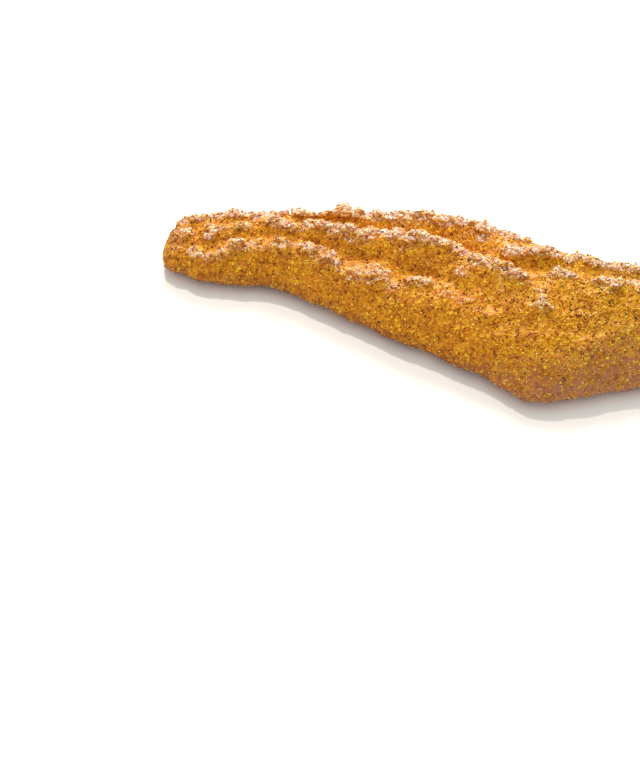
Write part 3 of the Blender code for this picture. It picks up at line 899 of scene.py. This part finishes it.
flake_shapes = knocked_shapes(dice, 12, FLAKE_KNOCK, bmesh.ops.create_icosphere, subdivisions=2)
flake_liking = eased(on_ridge, *FLAKE_RIDGE_LIMITS) * eased(stands, *FLAKE_STANDS_LIMITS)
spots, facing, sheen_and_dust = sprinkle(dice, FLAKE_COUNT, FLAKE_GAP, flake_liking)
radius = drawn_radii(dice, len(spots), *FLAKE_RADII)
# Fried batter curd: gives the eye crisp, light edges along the ridges.
flake_material = grit_material("fried_batter_curd", roughness=0.28, gloss=0.5, colours=FLAKE_COLOURS)
turns = lying_turns(dice, facing, FLAKE_TILT, FLAKE_LENGTHS, FLAKE_THICKNESSES)
lay_grains(
    "ridge_curds", dice, flake_shapes, spots, facing, FLAKE_DUST_AND_SHEEN * sheen_and_dust, radius, turns,
    FLAKE_SUNK, flake_material, FLAKE_LIT_CROWN,
)

# %% [markdown]
# ## Crumbs between the flakes
# Between the flakes lie crumbs of the same batter, 0.5 to 1.2 mm across. Twenty faces are enough
# for them. Many are pale with dry meal and painted sheen, and they thin out down the faces with it.

# %% Ridge crumbs
CRUMB_COUNT = 5500
CRUMB_GAP = 0.75 * MM
CRUMB_RADII = (0.24, 0.58, 2.0)
CRUMB_KNOCK = 0.36
CRUMB_STRETCH = 0.35
CRUMB_SUNK = 0.95
# Crumbs are a little paler on the side towards the lamp: a painted highlight.
CRUMB_LIT_CROWN = 0.25
CRUMB_RIDGE_LIMITS = (0.0, 0.7)
CRUMB_FACING_LIMITS = (0.0, 0.7)
CRUMB_COLOURS = ((0.0, "#A65C18"), (0.5, "#CC8822"), (0.8, "#E2AE50"), (1.0, "#F2D4A0"))

crumb_shapes = knocked_shapes(dice, 12, CRUMB_KNOCK, bmesh.ops.create_icosphere, subdivisions=1)
crumb_liking = eased(on_ridge, *CRUMB_RIDGE_LIMITS) * eased(normals[:, 2], *CRUMB_FACING_LIMITS)
spots, facing, sheen_and_dust = sprinkle(dice, CRUMB_COUNT, CRUMB_GAP, crumb_liking)
radius = drawn_radii(dice, len(spots), *CRUMB_RADII)
# Fried ridge crumb: gives the eye the broken, pale texture of the crests.
crumb_material = grit_material("fried_ridge_crumb", roughness=0.26, gloss=0.5, colours=CRUMB_COLOURS)
turns = random_turns(dice, len(spots), CRUMB_STRETCH)
lay_grains(
    "ridge_crumbs", dice, crumb_shapes, spots, facing, sheen_and_dust, radius, turns,
    CRUMB_SUNK, crumb_material, CRUMB_LIT_CROWN,
)

# %% [markdown]
# ## Pepper and paprika
# Cracked black pepper is the darkest thing on the crust, in chips 0.5 to 1.1 mm wide. The dredge
# also has red-brown flecks of paprika, smaller and more of them. Both are sprinkled everywhere,
# and neither is paled by meal nor by painted sheen, because they went into the batter and not over it.

# %% Seasoning
PAPRIKA_LEAST = 0.6
SEASONING = (
    # name, count, gap mm, radii mm and power, stretch, how deep it is sunk, liking, and the
    # material's name, roughness, gloss and colours by tone.
    # Cracked pepper gives the eye the few near-black points, and paprika the warm dark ones.
    ("pepper_specks", 330, 1.5, (0.24, 0.56, 1.5), 0.35, 0.45, seen_liking,
     "cracked_pepper", 0.45, 0.5, ((0.0, "#16110E"), (0.7, "#2A1F18"), (1.0, "#4A3626"))),
    ("paprika_flecks", 1100, 1.0, (0.22, 0.46), 0.4, 0.7, seen_liking * (PAPRIKA_LEAST + on_ridge),
     "paprika_fleck", 0.4, 0.4, ((0.0, "#6E2412"), (0.6, "#963A1A"), (1.0, "#B4582A"))),
)
for name, count, gap, radii, stretch, sunk, liking, finish, roughness, gloss, colours in SEASONING:
    spots, facing, sheen_and_dust = sprinkle(dice, count, gap * MM, liking)
    radius = drawn_radii(dice, len(spots), *radii)
    material = grit_material(finish, roughness, gloss, colours)
    turns = random_turns(dice, len(spots), stretch)
    lay_grains(name, dice, coarse_shapes, spots, facing, 0 * sheen_and_dust, radius, turns, sunk, material)
